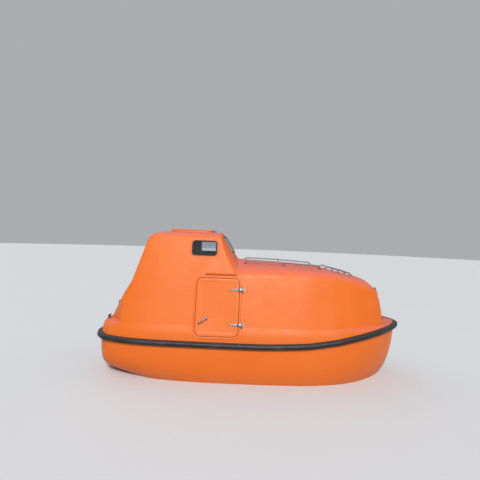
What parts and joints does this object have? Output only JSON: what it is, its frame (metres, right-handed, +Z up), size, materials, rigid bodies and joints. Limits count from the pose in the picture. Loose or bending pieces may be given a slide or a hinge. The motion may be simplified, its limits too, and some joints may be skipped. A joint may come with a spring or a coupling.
{
  "type": "enclosed lifeboat",
  "caption": "Totally enclosed lifeboat with raised helm tower, hinged side doors and hatches, rubber fender, release hooks and a steering nozzle round its propeller.",
  "frame": {"origin": "amidships on the centreline at the waterline", "axes": "+X to the bow, +Y to port, +Z up"},
  "size_m": [5.136, 2.224, 2.9175],
  "materials": {
    "orange_gelcoat": "glass fibre with orange gelcoat, satin, faded and dusty on top",
    "liner_gelcoat": "off-white gelcoat liner",
    "fender_rubber": "dull black rubber",
    "window_glass": "clear toughened glass",
    "stainless": "weathered stainless steel",
    "bronze": "cast bronze, dulled by seawater",
    "engine_paint": "grey-green enamel",
    "black_plastic": "black moulded plastic"
  },
  "bodies": {
    "root": {"hull": "orange_gelcoat", "skeg": "orange_gelcoat", "canopy": "orange_gelcoat", "keel_shoe": "stainless", "stern_tube": "bronze", "engine": "engine_paint", "cabin_sole": "liner_gelcoat", "engine_bulkhead": "liner_gelcoat", "helm_platform": "liner_gelcoat", "helm_console": "liner_gelcoat", "helm_chair": "black_plastic", "window_aft": "window_glass", "window_side_starboard": "window_glass", "window_side_port": "window_glass", "window_front_starboard": "window_glass", "window_front_port": "window_glass", "hook_base_fore": "stainless", "hook_base_aft": "stainless", "fender_starboard": "fender_rubber", "fender_port": "fender_rubber", "door_bracket_lower_starboard": "stainless", "door_bracket_lower_port": "stainless", "door_bracket_upper_starboard": "stainless", "door_bracket_upper_port": "stainless", "gutter_starboard": "orange_gelcoat", "gutter_port": "orange_gelcoat", "deck_rail_mid_starboard": "stainless", "deck_rail_mid_port": "stainless", "deck_rail_fore_starboard": "stainless", "deck_rail_fore_port": "stainless", "bilge_rail_starboard": "stainless", "bilge_rail_port": "stainless", "cleat_starboard": "stainless", "cleat_port": "stainless", "bench_starboard": "liner_gelcoat", "bench_port": "liner_gelcoat"},
    "side_door_starboard": {"door_starboard": "orange_gelcoat", "door_strap_lower_starboard": "stainless", "door_strap_upper_starboard": "stainless", "door_lever_starboard": "stainless"},
    "side_door_port": {"door_port": "orange_gelcoat", "door_strap_lower_port": "stainless", "door_strap_upper_port": "stainless", "door_lever_port": "stainless"},
    "fore_hatch_lid": {"fore_hatch": "orange_gelcoat"},
    "aft_hatch_lid": {"aft_hatch": "orange_gelcoat"},
    "roof_hatch_lid": {"roof_hatch": "orange_gelcoat"},
    "fore_release_hook": {"hook_fore": "stainless"},
    "aft_release_hook": {"hook_aft": "stainless"},
    "nozzle": {"steering_nozzle": "stainless"},
    "screw": {"propeller": "bronze"},
    "helm": {"helm_wheel": "black_plastic"}
  },
  "joints": [
    {"name": "door_starboard_hinge", "type": "hinge", "parent": "root", "child": "side_door_starboard", "pos_m": [-0.215, -1.01023, 0.91325], "axis": [0, 0.2425, 0.9701], "range_deg": [0, 110]},
    {"name": "door_port_hinge", "type": "hinge", "parent": "root", "child": "side_door_port", "pos_m": [-0.215, 1.01023, 0.91325], "axis": [0, 0.2425, -0.9701], "range_deg": [0, 110]},
    {"name": "fore_hatch_hinge", "type": "hinge", "parent": "root", "child": "fore_hatch_lid", "pos_m": [2.13328, 0, 1.44566], "axis": [0, -1, 0], "range_deg": [0, 95]},
    {"name": "aft_hatch_hinge", "type": "hinge", "parent": "root", "child": "aft_hatch_lid", "pos_m": [-2.05215, 0, 1.52829], "axis": [0, 1, 0], "range_deg": [0, 95]},
    {"name": "roof_hatch_hinge", "type": "hinge", "parent": "root", "child": "roof_hatch_lid", "pos_m": [-0.74, 0, 2.3525], "axis": [0, 1, 0], "range_deg": [0, 95]},
    {"name": "fore_hook_release", "type": "hinge", "parent": "root", "child": "fore_release_hook", "pos_m": [2.25, 0, 0.986], "axis": [0, 1, 0], "range_deg": [0, 60]},
    {"name": "aft_hook_release", "type": "hinge", "parent": "root", "child": "aft_release_hook", "pos_m": [-2.385, 0, 0.96418], "axis": [0, -1, 0], "range_deg": [0, 60]},
    {"name": "nozzle_steer", "type": "hinge", "parent": "root", "child": "nozzle", "pos_m": [-2.15, 0, -0.27], "axis": [0, 0, 1], "range_deg": [-35, 35]},
    {"name": "screw_turn", "type": "hinge", "parent": "root", "child": "screw", "pos_m": [-2.15, 0, -0.27], "axis": [1, 0, 0], "continuous": true},
    {"name": "helm_turn", "type": "hinge", "parent": "root", "child": "helm", "pos_m": [-1.262, 0, 1.48], "axis": [0.9004, 0, -0.435], "range_deg": [-270, 270]}
  ],
  "couplings": [
    {"joint": "helm_turn", "follows": "nozzle_steer", "ratio": 7.7142}
  ]
}
